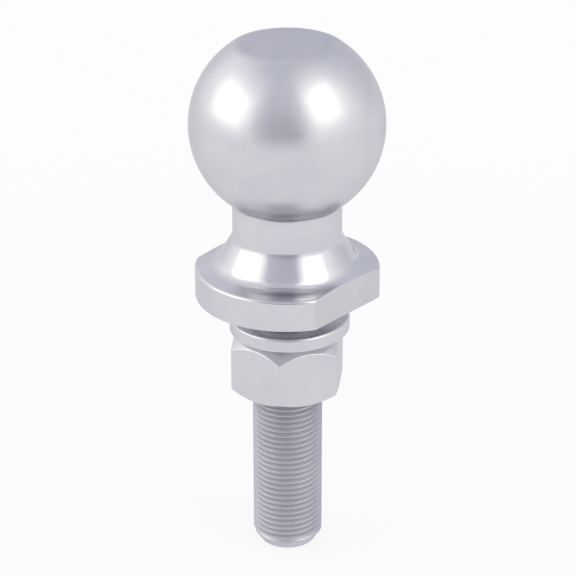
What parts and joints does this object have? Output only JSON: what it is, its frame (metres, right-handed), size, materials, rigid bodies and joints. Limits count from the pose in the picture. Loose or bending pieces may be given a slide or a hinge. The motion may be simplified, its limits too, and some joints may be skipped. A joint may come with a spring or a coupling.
{
  "type": "threaded tow ball",
  "caption": "Steel tow ball on a necked flange with wrench flats, and a threaded shank that carries a split spring washer and a hexagon nut.",
  "frame": {"origin": "on the shank's axis, in the plane of the flange's seat", "axes": "+Z along the shank's axis, up through the ball; +X square to one of the two wrench flats"},
  "size_m": [0.0508, 0.0508, 0.1433],
  "materials": {
    "ball_steel": "satin zinc plate",
    "washer_steel": "dull zinc plate",
    "nut_steel": "satin zinc plate"
  },
  "bodies": {
    "tow_ball": {"tow_ball": "ball_steel"},
    "lock_washer": {"lock_washer": "washer_steel"},
    "hex_nut": {"hex_nut": "nut_steel"}
  },
  "joints": [
    {"name": "washer_slide", "type": "slide", "parent": "tow_ball", "child": "lock_washer", "axis": [0, 0, 1], "range_m": [-0.0461, 0.0052]},
    {"name": "nut_spin", "type": "hinge", "parent": "lock_washer", "child": "hex_nut", "pos_m": [0, 0, -0.0195], "axis": [0, 0, 1], "range_deg": [-10440, 1170]}
  ],
  "couplings": [
    {"joint": "washer_slide", "follows": "nut_spin", "m_per_rad": 0.00025266}
  ]
}
